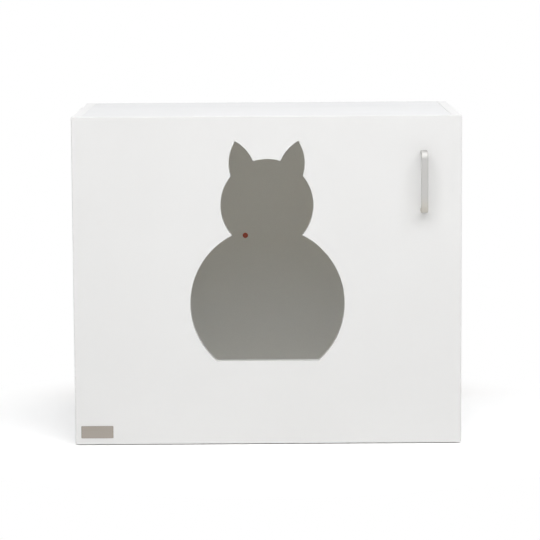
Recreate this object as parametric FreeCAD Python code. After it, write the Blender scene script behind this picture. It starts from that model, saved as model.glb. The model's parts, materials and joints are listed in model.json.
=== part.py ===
import FreeCAD, Part
import math
import os

# Cat litter box cabinet: a flat-pack box with one full-size door on two cup hinges.
# Millimetres. X is the width (right side +), Y the depth (the door faces -Y), Z is up.
# The origin is under the middle of the box that holds the whole cabinet, on the floor.

# ---- cabinet sizes ----
WIDTH = 650.0
HEIGHT = 550.0
CARCASS_DEPTH = 402.0
BOARD = 16.0
BAND = 0.8
BOTTOM_LIFT = 6.0
BACK_THICKNESS = 3.0
BACK_INSET = 12.0
GROOVE_DEPTH = 7.0
GROOVE_PLAY = 0.1

# ---- corner joints: cam housings, cam bolts and dowels ----
CAM_RADIUS = 7.4
CAM_HEIGHT = 12.2
CAM_PLAY = 0.1
CAM_FROM_END = 34.0
CAM_FRONT = 52.0
CAM_REAR = 64.0
CAM_SLOT_WIDTH = 1.6
CAM_SLOT_DEPTH = 2.4
CAM_SLOT_REACH = 5.2
BOLT_BORE_RADIUS = 4.0
BOLT_SHAFT_RADIUS = 3.0
BOLT_NECK_RADIUS = 2.0
BOLT_HEAD_RADIUS = 3.2
BOLT_HEAD_LENGTH = 3.0
BOLT_NECK_LENGTH = 5.0
BOLT_THREAD_RADIUS = 2.5
BOLT_THREAD_LENGTH = 11.0
CAP_RADIUS = 8.6
CAP_THICKNESS = 1.2
DOWEL_RADIUS = 4.0
DOWEL_IN_SIDE = 10.0
DOWEL_IN_SHELF = 20.0
DOWEL_FROM_CAM = 32.0
FIT_PLAY = 0.05

# ---- red cap and shallow drill mark in the back ----
BACK_CAP_X = -39.8
BACK_CAP_FROM_TOP = 225.0
BACK_CAP_RADIUS = 4.8
BACK_CAP_DOME = 1.4
BACK_CAP_TOP_RADIUS = 2.9
BACK_CAP_STEM_RADIUS = 3.6
BACK_CAP_STEM_LENGTH = 5.0
BACK_HOLE_X = 17.6
BACK_HOLE_FROM_TOP = 145.5
BACK_HOLE_RADIUS = 1.9
BACK_HOLE_DEPTH = 1.5

# ---- door: its top stands a little above the carcass and hides the gap behind it ----
DOOR_THICKNESS = 16.0
DOOR_GAP = 2.5
DOOR_SIDE_REVEAL = 2.0
DOOR_FOOT = 1.5
DOOR_RISE = 0.5
DOOR_EDGE_ROUND = 0.8

# cat-shaped doorway, symmetric about the middle of the door: the ears' tips hang below the
# door's top edge, and the rises are measured up from the sill
EARS_FROM_TOP = 40.8
EAR_TIP_RISE = 368.0
BODY_RADIUS = 128.8
BODY_RISE = 96.5
HEAD_RADIUS = 77.3
HEAD_RISE = 261.2
EAR_TIP_X = 52.4
EAR_TIP_RADIUS = 1.6
EAR_OUTER_X = 59.9
EAR_OUTER_SAG = 6.0
EAR_INNER_X = 22.7
EAR_INNER_SAG = 3.3

# ---- handle, plate and bumpers ----
HANDLE_FROM_SIDE = 62.5
HANDLE_FROM_TOP = 108.5
HANDLE_CENTRES = 96.0
HANDLE_STRIP = 6.0
HANDLE_WIDTH = 11.6
HANDLE_PROJECTION = 30.0
HANDLE_BEND = 11.0
HANDLE_EDGE_ROUND = 1.6
HANDLE_SCREW_RADIUS = 2.0
HANDLE_SCREW_DEPTH = 9.0
HANDLE_SCREW_HEAD_RADIUS = 4.0
HANDLE_SCREW_HEAD = 2.2
HANDLE_SCREW_HOLE = 2.3
PLATE_LENGTH = 53.7
PLATE_HEIGHT = 20.4
PLATE_THICKNESS = 0.8
PLATE_CORNER = 0.8
PLATE_LEFT = 9.3
PLATE_LOW = 10.7
BUMPER_RADIUS = 4.0
BUMPER_SHOULDER_RADIUS = 3.8
BUMPER_TIP_RADIUS = 2.2
BUMPER_PLAY = 0.3
BUMPER_FROM_END = 30.0

# ---- cup hinges ----
# Pin places are (p, q): p from the left side panel's inner face towards the middle of the
# cabinet, q from the back face of the closed door towards the back of the cabinet.
HINGE_FROM_END = 98.5
SHORT_ARM_PIN = (9.0, -5.5)
SHORT_CUP_PIN = (-3.65, -5.65)
LONG_ARM_PIN = (17.0, 5.8)
LONG_CUP_PIN = (-4.8, -2.35)
LONG_LINK_END = (-4.45, -1.5)
SHORT_LINK_SAG = 3.6
LONG_LINK_SAG = 4.5
PIN_RADIUS = 1.25
RIVET_RADIUS = 0.9
RIVET_HEAD_RADIUS = 2.3
RIVET_HEAD = 0.6
OPEN_PIVOT_PLAY = 1.05
EYE_WALL = 0.7
SHORT_LINK_HALF = 2.6
LUG_GAP = 0.2
LUG_THICKNESS = 1.0
LINK_PLATE = 1.0
LINK_HALF_WIDTH = 1.7
SHORT_EYE_RADIUS = 2.1
LUG_RADIUS = 2.4
CUP_LUG_FOOT = 3.6
CUP_P = 7.0
CUP_BORE_RADIUS = 17.5
CUP_DEPTH = 12.5
CUP_WALL = 0.8
CUP_FLOOR = 0.6
FLANGE = 0.6
RIM_OVERHANG = 0.8
EAR_SPACING = 45.0
EAR_OFFSET = 9.5
EAR_RADIUS = 5.6
WOOD_SCREW_RADIUS = 1.75
WOOD_SCREW_HEAD_RADIUS = 3.4
WOOD_SCREW_HEAD = 1.4
CUP_SCREW_LENGTH = 11.0

# mounting plate and arm, distances from the front edge of the side panel
BASE_THICKNESS = 2.0
BASE_SCREW_SPACING = 32.0
BASE_SCREW_Y = 37.0
BASE_EAR_RADIUS = 6.5
BASE_FRONT = 24.0
BASE_REAR = 58.0
BASE_HALF = 6.4
PLATE_SCREW_RADIUS = 2.4
PLATE_SCREW_HEAD_RADIUS = 4.6
PLATE_SCREW_HEAD = 1.8
PLATE_SCREW_LENGTH = 12.0
ARM_SHEET = 1.2
ARM_TOP_P = 15.0
ARM_SEAT_PLAY = 0.1
ARM_HALF = 8.0
ARM_CHEEK_LOW = 4.0
ARM_FRONT = 12.0
ARM_REAR = 64.0
ARM_CHEEK_FRONT = 15.0
LUG_REAR = 20.0
LUG_HEEL_RADIUS = 1.5
FIXING_SCREW_Y = 44.0
FIXING_SCREW_RADIUS = 2.8
FIXING_SCREW_HEAD_RADIUS = 4.4
FIXING_SCREW_HEAD = 2.0
FIXING_SCREW_LENGTH = 10.0
ADJUSTING_SCREW_Y = 29.0
ADJUSTING_SCREW_RADIUS = 2.4
ADJUSTING_SCREW_RISE = 1.0

# screw heads: height of the rim and depth of the cross recess as shares of the head's height,
# radius of the flat top and reach of the recess as shares of the head's radius
HEAD_RIM = 0.5
HEAD_TOP = 0.7
RECESS_FLOOR = 0.4
RECESS_REACH = 0.6
RECESS_WIDTH = 1.0

# ---- working values: past-the-face length of cutting tools, and nearness when picking edges ----
OVERCUT = 1.0
NEAR = 0.01

# ---- places that follow from the sizes ----
TOTAL_DEPTH = HANDLE_PROJECTION + DOOR_THICKNESS + DOOR_GAP + CARCASS_DEPTH
HANDLE_FRONT_Y = -TOTAL_DEPTH / 2
DOOR_FRONT_Y = HANDLE_FRONT_Y + HANDLE_PROJECTION
DOOR_BACK_Y = DOOR_FRONT_Y + DOOR_THICKNESS
CARCASS_FRONT_Y = DOOR_BACK_Y + DOOR_GAP
CARCASS_REAR_Y = CARCASS_FRONT_Y + CARCASS_DEPTH
BACK_REAR_Y = CARCASS_REAR_Y - BACK_INSET
BACK_FRONT_Y = BACK_REAR_Y - BACK_THICKNESS
INSIDE_X = WIDTH / 2 - BOARD
TOP_UNDERSIDE = HEIGHT - BOARD
BOTTOM_TOP = BOTTOM_LIFT + BOARD
DOOR_HALF_WIDTH = WIDTH / 2 - DOOR_SIDE_REVEAL
DOOR_LOW = DOOR_FOOT
DOOR_HIGH = HEIGHT + DOOR_RISE
SILL_Z = DOOR_HIGH - EARS_FROM_TOP - EAR_TIP_RISE
BODY_CENTRE_Z = SILL_Z + BODY_RISE
HEAD_CENTRE_Z = SILL_Z + HEAD_RISE
EAR_TIP_Z = SILL_Z + EAR_TIP_RISE
HANDLE_X = DOOR_HALF_WIDTH - HANDLE_FROM_SIDE
HANDLE_Z = DOOR_HIGH - HANDLE_FROM_TOP
BACK_CAP_Z = TOP_UNDERSIDE - BACK_CAP_FROM_TOP
BACK_HOLE_Z = TOP_UNDERSIDE - BACK_HOLE_FROM_TOP
LUG_INNER = SHORT_LINK_HALF + LUG_GAP
LUG_OUTER = LUG_INNER + LUG_THICKNESS
LONG_PLATE_INNER = LUG_OUTER + LUG_GAP
LONG_PLATE_OUTER = LONG_PLATE_INNER + LINK_PLATE
BLOCK_TOP_P = ARM_TOP_P - ARM_SHEET - ARM_SEAT_PLAY


def vector(x, y, z):
    return FreeCAD.Vector(x, y, z)


def box(x0, x1, y0, y1, z0, z1):
    return Part.makeBox(x1 - x0, y1 - y0, z1 - z0, vector(x0, y0, z0))


def rod_x(radius, x0, x1, y, z):
    return Part.makeCylinder(radius, x1 - x0, vector(x0, y, z), vector(1, 0, 0))


def rod_y(radius, y0, y1, x, z):
    return Part.makeCylinder(radius, y1 - y0, vector(x, y0, z), vector(0, 1, 0))


def rod_z(radius, z0, z1, x, y):
    return Part.makeCylinder(radius, z1 - z0, vector(x, y, z0), vector(0, 0, 1))


def placed(solid, start, way):
    """Move a solid built upright on the origin to start, with its Z axis along way."""
    solid.Placement = FreeCAD.Placement(start, FreeCAD.Rotation(vector(0, 0, 1), way))
    return solid


def turned(profile, start, way):
    """Solid of revolution about a line through start: profile is (distance along, radius)."""
    points = [vector(radius, 0, along) for along, radius in profile]
    wire = Part.makePolygon(points + [points[0]])
    return placed(Part.Face(wire).revolve(vector(0, 0, 0), vector(0, 0, 1), 360), start, way)


def fuse(shapes):
    return shapes[0].multiFuse(shapes[1:]).removeSplitter() if len(shapes) > 1 else shapes[0]


def cut(shape, tools):
    return shape.cut(Part.makeCompound(tools)) if tools else shape


def save(name, solids):
    shape = solids[0] if len(solids) == 1 else Part.makeCompound(solids)
    shape.exportStep("parts/%s.step" % name)


def screw(start, way, radius, length, head_radius, head_height):
    """Cross-recess screw: the head stands on the surface at start and points along way."""
    profile = [(-length, 0), (-length, radius), (0, radius), (0, head_radius),
               (head_height * HEAD_RIM, head_radius),
               (head_height, head_radius * HEAD_TOP), (head_height, 0)]
    body = turned(profile, vector(0, 0, 0), vector(0, 0, 1))
    half = RECESS_WIDTH / 2
    reach = head_radius * RECESS_REACH
    floor = head_height * RECESS_FLOOR
    recess = [box(-reach, reach, -half, half, floor, head_height),
              box(-half, half, -reach, reach, floor, head_height)]
    return placed(cut(body, recess), start, way)


def screw_hole(start, way, radius, length):
    """Hole for a screw's shank, with a little play round it and at its end."""
    return Part.makeCylinder(radius + FIT_PLAY, length + FIT_PLAY, start, way * -1)


def direction(angle):
    return vector(math.cos(angle), math.sin(angle), 0)


def belt_face(discs):
    """Flat plate drawn round discs (x, y, radius) given counter-clockwise, in the XY plane."""
    count = len(discs)
    tangents = []
    for index in range(count):
        x0, y0, r0 = discs[index]
        x1, y1, r1 = discs[(index + 1) % count]
        heading = math.atan2(y1 - y0, x1 - x0)
        lean = math.acos((r0 - r1) / math.hypot(x1 - x0, y1 - y0))
        normal = heading - lean
        start = vector(x0, y0, 0) + direction(normal) * r0
        end = vector(x1, y1, 0) + direction(normal) * r1
        tangents.append((start, end, normal))
    edges = []
    for index in range(count):
        start, end, normal = tangents[index]
        next_start, next_end, next_normal = tangents[(index + 1) % count]
        edges.append(Part.LineSegment(start, end).toShape())
        turn = (next_normal - normal) % (2 * math.pi)
        x, y, radius = discs[(index + 1) % count]
        middle = vector(x, y, 0) + direction(normal + turn / 2) * radius
        edges.append(Part.Arc(end, middle, next_start).toShape())
    return Part.Face(Part.Wire(edges))


def belt(discs, z0, z1):
    plate = belt_face(discs).extrude(vector(0, 0, z1 - z0))
    plate.translate(vector(0, 0, z0))
    return plate


def curved_link(start, end, sag, start_radius, end_radius, half_width, z0, z1):
    """Curved strip from start to end, bulging to the right of the way, with an eye at each end."""
    ax, ay = start
    bx, by = end
    chord = math.hypot(bx - ax, by - ay)
    radius = (chord * chord / 4 + sag * sag) / (2 * sag)
    outward = math.atan2(by - ay, bx - ax) - math.pi / 2
    centre = vector((ax + bx) / 2, (ay + by) / 2, z0) + direction(outward) * (sag - radius)
    half_angle = math.asin(chord / 2 / radius)
    angles = (outward - half_angle, outward, outward + half_angle)
    outer = [centre + direction(angle) * (radius + half_width) for angle in angles]
    inner = [centre + direction(angle) * (radius - half_width) for angle in angles]
    edges = [
        Part.Arc(outer[0], outer[1], outer[2]).toShape(),
        Part.LineSegment(outer[2], inner[2]).toShape(),
        Part.Arc(inner[2], inner[1], inner[0]).toShape(),
        Part.LineSegment(inner[0], outer[0]).toShape(),
    ]
    strip = Part.Face(Part.Wire(edges)).extrude(vector(0, 0, z1 - z0))
    return fuse([strip, rod_z(start_radius, z0, z1, ax, ay), rod_z(end_radius, z0, z1, bx, by)])


# ---- carcass ----

def corner_ends():
    """Each end of the top and bottom panels: (side sign, middle height of the panel)."""
    return [(side, low + BOARD / 2) for side in (-1, 1) for low in (TOP_UNDERSIDE, BOTTOM_LIFT)]


def cam_rows():
    return [CARCASS_FRONT_Y + CAM_FRONT, CARCASS_REAR_Y - CAM_REAR]


def dowel_rows():
    front, rear = cam_rows()
    return [front + DOWEL_FROM_CAM, rear - DOWEL_FROM_CAM]


def span_x(side, x0, x1):
    """Ordered X range for one side of the cabinet, from distances right of the middle."""
    return (side * x0, side * x1) if side > 0 else (side * x1, side * x0)


def side_panel(side):
    x0, x1 = span_x(side, INSIDE_X, WIDTH / 2)
    panel = box(x0, x1, CARCASS_FRONT_Y + BAND, CARCASS_REAR_Y, 0, HEIGHT - BAND)
    g0, g1 = span_x(side, INSIDE_X, INSIDE_X + GROOVE_DEPTH + GROOVE_PLAY)
    tools = [box(g0, g1, BACK_FRONT_Y - GROOVE_PLAY, BACK_REAR_Y + GROOVE_PLAY,
                 BOTTOM_LIFT, TOP_UNDERSIDE + GROOVE_DEPTH + GROOVE_PLAY)]
    thread = span_x(side, INSIDE_X, INSIDE_X + BOLT_THREAD_LENGTH)
    hole = span_x(side, INSIDE_X, INSIDE_X + DOWEL_IN_SIDE + FIT_PLAY)
    for z in (TOP_UNDERSIDE + BOARD / 2, BOTTOM_LIFT + BOARD / 2):
        tools += [rod_x(BOLT_THREAD_RADIUS + FIT_PLAY, thread[0], thread[1], y, z) for y in cam_rows()]
        tools += [rod_x(DOWEL_RADIUS + FIT_PLAY, hole[0], hole[1], y, z) for y in dowel_rows()]
    if side < 0:
        tools += [screw_hole(start, vector(1, 0, 0), PLATE_SCREW_RADIUS, PLATE_SCREW_LENGTH)
                  for start in plate_screw_places()]
    return cut(panel, tools)


def shelf_panel(low, groove_low, groove_high):
    """The top panel or the bottom panel between the side panels, grooved for the back."""
    panel = box(-INSIDE_X, INSIDE_X, CARCASS_FRONT_Y + BAND, CARCASS_REAR_Y, low, low + BOARD)
    middle = low + BOARD / 2
    tools = [box(-INSIDE_X, INSIDE_X, BACK_FRONT_Y - GROOVE_PLAY, BACK_REAR_Y + GROOVE_PLAY,
                 groove_low, groove_high)]
    for side in (-1, 1):
        bolt = span_x(side, INSIDE_X - CAM_FROM_END, INSIDE_X)
        hole = span_x(side, INSIDE_X - DOWEL_IN_SHELF - FIT_PLAY, INSIDE_X)
        for y in cam_rows():
            tools.append(rod_x(BOLT_BORE_RADIUS, bolt[0], bolt[1], y, middle))
            tools.append(rod_z(CAM_RADIUS + CAM_PLAY, low, low + CAM_HEIGHT + CAM_PLAY,
                               side * (INSIDE_X - CAM_FROM_END), y))
        tools += [rod_x(DOWEL_RADIUS + FIT_PLAY, hole[0], hole[1], y, middle) for y in dowel_rows()]
    return cut(panel, tools)


def top_panel():
    return shelf_panel(TOP_UNDERSIDE, TOP_UNDERSIDE, TOP_UNDERSIDE + GROOVE_DEPTH + GROOVE_PLAY)


def bottom_panel():
    return shelf_panel(BOTTOM_LIFT, BOTTOM_TOP - GROOVE_DEPTH - GROOVE_PLAY, BOTTOM_TOP)


def back_panel():
    half = INSIDE_X + GROOVE_DEPTH
    panel = box(-half, half, BACK_FRONT_Y, BACK_REAR_Y,
                BOTTOM_TOP - GROOVE_DEPTH, TOP_UNDERSIDE + GROOVE_DEPTH)
    return cut(panel, [
        rod_y(BACK_CAP_STEM_RADIUS + FIT_PLAY, BACK_FRONT_Y, BACK_REAR_Y, BACK_CAP_X, BACK_CAP_Z),
        rod_y(BACK_HOLE_RADIUS, BACK_FRONT_Y, BACK_FRONT_Y + BACK_HOLE_DEPTH, BACK_HOLE_X,
              BACK_HOLE_Z),
    ])


def fixing_hole_cap():
    profile = [(0, 0), (0, BACK_CAP_RADIUS), (BACK_CAP_DOME / 2, BACK_CAP_RADIUS),
               (BACK_CAP_DOME, BACK_CAP_TOP_RADIUS), (BACK_CAP_DOME, 0)]
    dome = turned(profile, vector(BACK_CAP_X, BACK_FRONT_Y, BACK_CAP_Z), vector(0, -1, 0))
    stem = rod_y(BACK_CAP_STEM_RADIUS, BACK_FRONT_Y, BACK_FRONT_Y + BACK_CAP_STEM_LENGTH,
                 BACK_CAP_X, BACK_CAP_Z)
    return fuse([dome, stem])


def edge_bands():
    bands = []
    rear = CARCASS_REAR_Y
    front = CARCASS_FRONT_Y
    for side in (-1, 1):
        x0, x1 = span_x(side, INSIDE_X, WIDTH / 2)
        bands.append(box(x0, x1, front, front + BAND, 0, HEIGHT))
        bands.append(box(x0, x1, front + BAND, rear, HEIGHT - BAND, HEIGHT))
    for low in (TOP_UNDERSIDE, BOTTOM_LIFT):
        bands.append(box(-INSIDE_X, INSIDE_X, front, front + BAND, low, low + BOARD))
    return bands


def cam_housing(side, low, y):
    x = side * (INSIDE_X - CAM_FROM_END)
    body = rod_z(CAM_RADIUS, low, low + CAM_HEIGHT, x, y)
    reach = span_x(side, INSIDE_X - CAM_FROM_END - BOLT_HEAD_LENGTH, INSIDE_X)
    tools = [rod_x(BOLT_BORE_RADIUS, reach[0], reach[1], y, low + BOARD / 2)]
    arm = CAM_SLOT_REACH
    half = CAM_SLOT_WIDTH / 2
    tools.append(box(x - arm, x + arm, y - half, y + half, low, low + CAM_SLOT_DEPTH))
    tools.append(box(x - half, x + half, y - arm, y + arm, low, low + CAM_SLOT_DEPTH))
    return cut(body, tools)


def cam_housings():
    return [cam_housing(side, middle - BOARD / 2, y) for side, middle in corner_ends() for y in cam_rows()]


def cam_bolt(side, middle, y):
    """Stud from the side panel into the cam housing: thread, shaft, neck and round head."""
    reach = CAM_FROM_END + BOLT_HEAD_LENGTH / 2
    neck = reach - BOLT_HEAD_LENGTH
    profile = [(-BOLT_THREAD_LENGTH, 0), (-BOLT_THREAD_LENGTH, BOLT_THREAD_RADIUS),
               (0, BOLT_THREAD_RADIUS), (0, BOLT_SHAFT_RADIUS),
               (neck - BOLT_NECK_LENGTH, BOLT_SHAFT_RADIUS), (neck - BOLT_NECK_LENGTH, BOLT_NECK_RADIUS),
               (neck, BOLT_NECK_RADIUS), (neck, BOLT_HEAD_RADIUS), (reach, BOLT_HEAD_RADIUS), (reach, 0)]
    return turned(profile, vector(side * INSIDE_X, y, middle), vector(-side, 0, 0))


def cam_bolts():
    return [cam_bolt(side, middle, y) for side, middle in corner_ends() for y in cam_rows()]


def wooden_dowels():
    dowels = []
    for side, middle in corner_ends():
        x0, x1 = span_x(side, INSIDE_X - DOWEL_IN_SHELF, INSIDE_X + DOWEL_IN_SIDE)
        dowels += [rod_x(DOWEL_RADIUS, x0, x1, y, middle) for y in dowel_rows()]
    return dowels


def cam_cover_caps():
    caps = []
    for side in (-1, 1):
        for y in cam_rows():
            x = side * (INSIDE_X - CAM_FROM_END)
            cap = rod_z(CAP_RADIUS, TOP_UNDERSIDE - CAP_THICKNESS, TOP_UNDERSIDE, x, y)
            rim = [edge for edge in cap.Edges if abs(edge.CenterOfMass.z - cap.BoundBox.ZMin) < NEAR]
            caps.append(cap.makeFillet(CAP_THICKNESS / 2, rim[:1]))
    return caps


# ---- door ----

def arc_by_sag(start, end, sag):
    """Arc from start to end in the XZ plane that swells to the right of the way by sag."""
    chord = end - start
    middle = (start + end) * 0.5
    right = vector(chord.z, 0, -chord.x)
    right.normalize()
    return Part.Arc(start, middle + right * sag, end).toShape()


def circle_height(centre_z, radius, x):
    return centre_z + math.sqrt(radius * radius - x * x)


def doorway_face():
    """The cat-shaped outline at Y 0, right half first, then its mirror image."""
    sill_x = math.sqrt(BODY_RADIUS ** 2 - (BODY_CENTRE_Z - SILL_Z) ** 2)
    rise = HEAD_CENTRE_Z - BODY_CENTRE_Z
    neck_drop = (BODY_RADIUS ** 2 - HEAD_RADIUS ** 2 + rise ** 2) / (2 * rise)
    neck_z = BODY_CENTRE_Z + neck_drop
    neck_x = math.sqrt(BODY_RADIUS ** 2 - neck_drop ** 2)
    sill = vector(sill_x, 0, SILL_Z)
    body_side = vector(BODY_RADIUS, 0, BODY_CENTRE_Z)
    neck = vector(neck_x, 0, neck_z)
    head_side = vector(HEAD_RADIUS, 0, HEAD_CENTRE_Z)
    ear_outer = vector(EAR_OUTER_X, 0, circle_height(HEAD_CENTRE_Z, HEAD_RADIUS, EAR_OUTER_X))
    ear_inner = vector(EAR_INNER_X, 0, circle_height(HEAD_CENTRE_Z, HEAD_RADIUS, EAR_INNER_X))
    tip_out = vector(EAR_TIP_X + EAR_TIP_RADIUS, 0, EAR_TIP_Z - 2 * EAR_TIP_RADIUS)
    tip_top = vector(EAR_TIP_X, 0, EAR_TIP_Z)
    tip_in = vector(EAR_TIP_X - EAR_TIP_RADIUS, 0, EAR_TIP_Z - EAR_TIP_RADIUS / 2)
    crown = vector(0, 0, HEAD_CENTRE_Z + HEAD_RADIUS)
    right = [
        Part.Arc(sill, body_side, neck).toShape(),
        Part.Arc(neck, head_side, ear_outer).toShape(),
        arc_by_sag(ear_outer, tip_out, EAR_OUTER_SAG),
        Part.Arc(tip_out, tip_top, tip_in).toShape(),
        arc_by_sag(tip_in, ear_inner, EAR_INNER_SAG),
    ]
    left = [edge.mirror(vector(0, 0, 0), vector(1, 0, 0)) for edge in right]
    mirrored_inner = vector(-EAR_INNER_X, 0, ear_inner.z)
    top = Part.Arc(ear_inner, crown, mirrored_inner).toShape()
    base = Part.LineSegment(vector(-sill_x, 0, SILL_Z), sill).toShape()
    return Part.Face(Part.Wire(Part.__sortEdges__(right + left + [top, base])))


def door_panel():
    blank = box(-DOOR_HALF_WIDTH, DOOR_HALF_WIDTH, DOOR_FRONT_Y, DOOR_BACK_Y, DOOR_LOW, DOOR_HIGH)
    front_edges = [edge for edge in blank.Edges if edge.BoundBox.YMax < DOOR_FRONT_Y + NEAR]
    blank = blank.makeFillet(DOOR_EDGE_ROUND, front_edges)
    doorway = doorway_face().extrude(vector(0, DOOR_THICKNESS + 2 * OVERCUT, 0))
    doorway.translate(vector(0, DOOR_FRONT_Y - OVERCUT, 0))
    tools = [doorway]
    tools += [rod_y(CUP_BORE_RADIUS, DOOR_BACK_Y - CUP_DEPTH - FIT_PLAY, DOOR_BACK_Y, cup_x(), z)
              for z in hinge_heights()]
    tools += [screw_hole(start, vector(0, 1, 0), WOOD_SCREW_RADIUS, CUP_SCREW_LENGTH)
              for start in cup_screw_places()]
    tools += [rod_y(HANDLE_SCREW_HOLE, DOOR_FRONT_Y, DOOR_BACK_Y, HANDLE_X, z) for z in handle_legs()]
    return cut(blank, tools)


def handle_legs():
    return [HANDLE_Z - HANDLE_CENTRES / 2, HANDLE_Z + HANDLE_CENTRES / 2]


def bow_edges(y_back, y_front, half, bend):
    """Three sides of a bow with two round corners, in the plane X 0."""
    low = HANDLE_Z - half
    high = HANDLE_Z + half
    corner = bend * (1 - math.sqrt(0.5))
    foot_low = vector(0, y_back, low)
    foot_high = vector(0, y_back, high)
    edges = [
        Part.LineSegment(foot_low, vector(0, y_front + bend, low)).toShape(),
        Part.Arc(vector(0, y_front + bend, low), vector(0, y_front + corner, low + corner),
                 vector(0, y_front, low + bend)).toShape(),
        Part.LineSegment(vector(0, y_front, low + bend), vector(0, y_front, high - bend)).toShape(),
        Part.Arc(vector(0, y_front, high - bend), vector(0, y_front + corner, high - corner),
                 vector(0, y_front + bend, high)).toShape(),
        Part.LineSegment(vector(0, y_front + bend, high), foot_high).toShape(),
    ]
    return edges, foot_low, foot_high


def door_handle():
    """Bow handle bent from one flat strip, fixed through its two feet."""
    outer_half = (HANDLE_CENTRES + HANDLE_STRIP) / 2
    inner_half = (HANDLE_CENTRES - HANDLE_STRIP) / 2
    outer, outer_low, outer_high = bow_edges(DOOR_FRONT_Y, HANDLE_FRONT_Y, outer_half, HANDLE_BEND)
    inner, inner_low, inner_high = bow_edges(DOOR_FRONT_Y, HANDLE_FRONT_Y + HANDLE_STRIP,
                                             inner_half, HANDLE_BEND - HANDLE_STRIP)
    feet = [Part.LineSegment(outer_low, inner_low).toShape(),
            Part.LineSegment(inner_high, outer_high).toShape()]
    face = Part.Face(Part.Wire(Part.__sortEdges__(outer + inner + feet)))
    face.translate(vector(HANDLE_X - HANDLE_WIDTH / 2, 0, 0))
    bow = face.extrude(vector(HANDLE_WIDTH, 0, 0))
    x_faces = (HANDLE_X - HANDLE_WIDTH / 2, HANDLE_X + HANDLE_WIDTH / 2)
    long_edges = [edge for edge in bow.Edges
                  if edge.BoundBox.XLength < NEAR and edge.BoundBox.YMin < DOOR_FRONT_Y - NEAR
                  and min(abs(edge.BoundBox.XMin - x) for x in x_faces) < NEAR]
    bow = bow.makeFillet(HANDLE_EDGE_ROUND, long_edges)
    holes = [rod_y(HANDLE_SCREW_RADIUS + FIT_PLAY, DOOR_FRONT_Y - HANDLE_SCREW_DEPTH - OVERCUT,
                   DOOR_FRONT_Y, HANDLE_X, z) for z in handle_legs()]
    return cut(bow, holes)


def handle_screws():
    length = DOOR_THICKNESS + HANDLE_SCREW_DEPTH
    return [screw(vector(HANDLE_X, DOOR_BACK_Y, z), vector(0, 1, 0), HANDLE_SCREW_RADIUS, length,
                  HANDLE_SCREW_HEAD_RADIUS, HANDLE_SCREW_HEAD) for z in handle_legs()]


def blank_plate():
    x0 = -DOOR_HALF_WIDTH + PLATE_LEFT
    z0 = DOOR_LOW + PLATE_LOW
    plate = box(x0, x0 + PLATE_LENGTH, DOOR_FRONT_Y - PLATE_THICKNESS, DOOR_FRONT_Y,
                z0, z0 + PLATE_HEIGHT)
    corners = [edge for edge in plate.Edges
               if edge.BoundBox.XLength < NEAR and edge.BoundBox.ZLength < NEAR]
    return plate.makeFillet(PLATE_CORNER, corners)


def door_bumpers():
    x = INSIDE_X + BOARD / 2
    height = DOOR_GAP - BUMPER_PLAY
    profile = [(0, 0), (0, BUMPER_RADIUS), (height / 2, BUMPER_SHOULDER_RADIUS),
               (height, BUMPER_TIP_RADIUS), (height, 0)]
    heights = (DOOR_LOW + BUMPER_FROM_END, DOOR_HIGH - BUMPER_FROM_END)
    return [turned(profile, vector(x, DOOR_BACK_Y, z), vector(0, 1, 0)) for z in heights]


# ---- hinges ----

def hinge_heights():
    return [DOOR_LOW + HINGE_FROM_END, DOOR_HIGH - HINGE_FROM_END]


def hinge_point(pin):
    """A pin place (p, q) as X and Y of the cabinet."""
    return -INSIDE_X + pin[0], DOOR_BACK_Y + pin[1]


def cup_x():
    return -INSIDE_X + CUP_P


def both_ways(z, inner, outer):
    return [(z + inner, z + outer), (z - outer, z - inner)]


def ear_rows():
    return [-EAR_SPACING / 2, EAR_SPACING / 2]


def cup_screw_places():
    """Where the heads of the cup screws sit on the flanges."""
    return [vector(cup_x() + EAR_OFFSET, DOOR_BACK_Y + FLANGE, z + dz)
            for z in hinge_heights() for dz in ear_rows()]


def cup_screws():
    return [screw(start, vector(0, 1, 0), WOOD_SCREW_RADIUS, CUP_SCREW_LENGTH,
                  WOOD_SCREW_HEAD_RADIUS, WOOD_SCREW_HEAD) for start in cup_screw_places()]


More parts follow.
